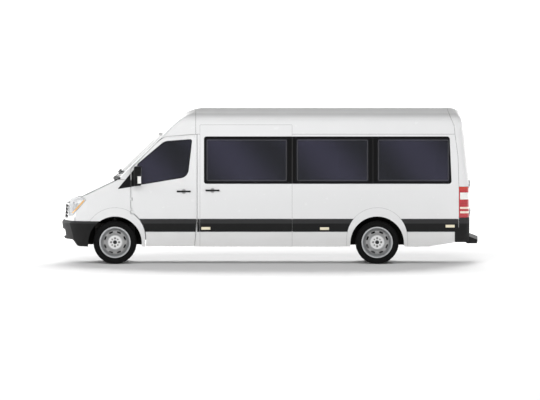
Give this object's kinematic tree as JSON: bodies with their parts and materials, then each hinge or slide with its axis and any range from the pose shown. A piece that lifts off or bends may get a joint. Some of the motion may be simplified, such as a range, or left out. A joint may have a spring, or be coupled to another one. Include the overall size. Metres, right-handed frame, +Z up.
{
  "type": "minibus",
  "caption": "High-roof passenger minibus with hinged cab and rear doors, a side entrance door, steered front wheels and rows of seats.",
  "frame": {"origin": "on the ground under the centre of the vehicle's bounding box", "axes": "+X to the rear, +Y to the vehicle's right-hand side, +Z up"},
  "size_m": [6.8567, 2.42, 2.544],
  "materials": {
    "white_paint": "smooth white paint",
    "grey_paint": "matt grey paint",
    "chassis_black": "chassis black",
    "dark_plastic": "grained dark grey plastic",
    "tinted_glass": "dark tinted glass with a black border",
    "clear_glass": "clear glass",
    "lamp_reflector": "bright reflector",
    "red_lens": "red lens",
    "rubber": "black tyre rubber",
    "wheel_silver": "silver lacquer",
    "cast_metal": "cast metal",
    "seat_fabric": "dark blue-grey cloth",
    "seat_steel": "black steel",
    "exhaust_steel": "dull steel",
    "liner_plastic": "black liner"
  },
  "bodies": {
    "body": {"bulkhead": "chassis_black", "cab_frame": "white_paint", "cab_seat_cushions": "seat_fabric", "cowl": "dark_plastic", "dashboard": "dark_plastic", "door_hinges": "white_paint", "driveline": "cast_metal", "engine": "cast_metal", "exhaust": "exhaust_steel", "floor_pan": "grey_paint", "front_bumper": "dark_plastic", "front_end": "chassis_black", "front_suspension": "chassis_black", "front_wings": "white_paint", "fuel_tank": "liner_plastic", "grille": "dark_plastic", "headlamp_lenses": "clear_glass", "headlamps": "lamp_reflector", "nose_panel": "white_paint", "passenger_seat_cushions": "seat_fabric", "rear_axle": "chassis_black", "rear_bumper": "dark_plastic", "rear_frame": "white_paint", "roof": "white_paint", "seat_frames": "seat_steel", "side_strips": "dark_plastic", "side_wall_left": "white_paint", "side_wall_right": "white_paint", "side_windows": "tinted_glass", "sliding_door": "white_paint", "tail_lamps": "red_lens", "wheel_housings": "liner_plastic", "windscreen": "clear_glass"},
    "front_door_left": {"front_door_left": "white_paint", "front_door_glass_left": "tinted_glass", "front_door_strip_left": "dark_plastic", "mirror_left": "dark_plastic"},
    "rear_door_left": {"rear_door_left": "white_paint", "rear_door_glass_left": "tinted_glass"},
    "knuckle_left": {"knuckle_left": "cast_metal"},
    "wheel_front_left": {"tyre_front_left": "rubber", "rim_front_left": "wheel_silver"},
    "wheel_rear_left": {"tyre_rear_left": "rubber", "rim_rear_left": "wheel_silver"},
    "front_door_right": {"front_door_right": "white_paint", "front_door_glass_right": "tinted_glass", "front_door_strip_right": "dark_plastic", "mirror_right": "dark_plastic"},
    "rear_door_right": {"rear_door_right": "white_paint", "rear_door_glass_right": "tinted_glass"},
    "knuckle_right": {"knuckle_right": "cast_metal"},
    "wheel_front_right": {"tyre_front_right": "rubber", "rim_front_right": "wheel_silver"},
    "wheel_rear_right": {"tyre_rear_right": "rubber", "rim_rear_right": "wheel_silver"},
    "bonnet": {"bonnet": "white_paint"},
    "steering_wheel": {"steering_wheel": "dark_plastic"}
  },
  "joints": [
    {"name": "steer_left", "type": "hinge", "parent": "body", "child": "knuckle_left", "pos_m": [-2.557, -0.77, 0.25], "axis": [0, 0.2211, 0.9753], "range_deg": [-35, 35]},
    {"name": "steer_right", "type": "hinge", "parent": "body", "child": "knuckle_right", "pos_m": [-2.557, 0.77, 0.25], "axis": [0, -0.2211, 0.9753], "range_deg": [-35, 35]},
    {"name": "steering_wheel_turn", "type": "hinge", "parent": "body", "child": "steering_wheel", "pos_m": [-2.01, 0.43, 1.24], "axis": [0.766, 0, 0.6428], "range_deg": [-525, 525]},
    {"name": "spin_front_left", "type": "hinge", "parent": "knuckle_left", "child": "wheel_front_left", "pos_m": [-2.557, -0.85, 0.358], "axis": [0, 1, 0], "continuous": true},
    {"name": "spin_front_right", "type": "hinge", "parent": "knuckle_right", "child": "wheel_front_right", "pos_m": [-2.557, 0.85, 0.358], "axis": [0, 1, 0], "continuous": true},
    {"name": "spin_rear_left", "type": "hinge", "parent": "body", "child": "wheel_rear_left", "pos_m": [1.768, -0.85, 0.358], "axis": [0, 1, 0], "continuous": true},
    {"name": "spin_rear_right", "type": "hinge", "parent": "body", "child": "wheel_rear_right", "pos_m": [1.768, 0.85, 0.358], "axis": [0, 1, 0], "continuous": true},
    {"name": "open_front_door_left", "type": "hinge", "parent": "body", "child": "front_door_left", "pos_m": [-2.283, -0.97, 0.99], "axis": [0, 0, -1], "range_deg": [0, 70]},
    {"name": "open_front_door_right", "type": "hinge", "parent": "body", "child": "front_door_right", "pos_m": [-2.283, 0.97, 0.99], "axis": [0, 0, 1], "range_deg": [0, 70]},
    {"name": "open_rear_door_left", "type": "hinge", "parent": "body", "child": "rear_door_left", "pos_m": [3.302, -0.876, 1], "axis": [0, 0, -1], "range_deg": [0, 180]},
    {"name": "open_rear_door_right", "type": "hinge", "parent": "body", "child": "rear_door_right", "pos_m": [3.302, 0.876, 1], "axis": [0, 0, 1], "range_deg": [0, 180]},
    {"name": "open_bonnet", "type": "hinge", "parent": "body", "child": "bonnet", "pos_m": [-2.5, 0, 1.375], "axis": [0, 1, 0], "range_deg": [0, 50]}
  ],
  "couplings": [
    {"joint": "steer_right", "follows": "steer_left", "ratio": 1},
    {"joint": "steering_wheel_turn", "follows": "steer_left", "ratio": 15}
  ]
}
